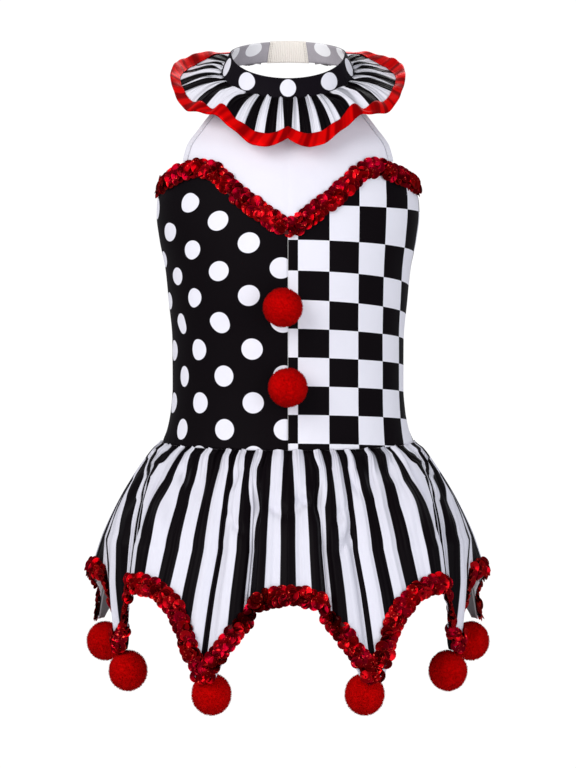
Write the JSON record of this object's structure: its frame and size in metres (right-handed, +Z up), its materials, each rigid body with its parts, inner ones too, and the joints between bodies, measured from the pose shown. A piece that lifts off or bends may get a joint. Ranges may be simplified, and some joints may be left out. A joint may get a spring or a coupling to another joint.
{
  "type": "clown costume",
  "caption": "Child's halter clown dress, filled out as if worn, with a gathered neck ruffle, a split dotted and checked bodice and a short striped skirt cut in points with pompoms.",
  "frame": {"origin": "middle of the neckband, where the wearer's neck holds the dress up", "axes": "+Z up, -Y out of the front, +X to the side of the checked front half, which is the wearer's left"},
  "size_m": [0.3302, 0.2776, 0.5303],
  "materials": {
    "dotted_cloth": "matt stretch knit, black with white polka dots",
    "checked_cloth": "matt stretch knit, black and white check",
    "striped_cloth": "soft sheen stretch knit, black and white stripes",
    "white_cloth": "soft sheen white stretch knit",
    "white_binding": "white binding, stitched",
    "red_satin": "glossy satin ribbon",
    "red_sequins": "overlapping cupped sequins, metallic sparkle",
    "red_pile": "dense cut yarn pile",
    "beige_tape": "ribbed fastening tape"
  },
  "bodies": {
    "root": {"neck_band": "dotted_cloth", "neck_closure": "beige_tape", "ruffle": "striped_cloth", "ruffle_binding": "red_satin", "yoke_front": "white_cloth", "armhole_binding_left": "white_binding", "armhole_binding_right": "white_binding", "bodice_front_dots": "dotted_cloth", "bodice_front_check": "checked_cloth", "bodice_back_check": "checked_cloth", "bodice_back_dots": "dotted_cloth", "neckline_trim": "red_sequins", "skirt_front": "striped_cloth", "skirt_back": "striped_cloth", "hem_trim_front": "red_sequins", "hem_trim_back": "red_sequins", "pompom_front_upper": "red_pile", "pompom_front_lower": "red_pile", "pompom_hem_1": "red_pile", "pompom_hem_2": "red_pile", "pompom_hem_3": "red_pile", "pompom_hem_4": "red_pile", "pompom_hem_5": "red_pile", "pompom_hem_6": "red_pile", "pompom_hem_7": "red_pile", "pompom_hem_8": "red_pile"}
  },
  "joints": []
}
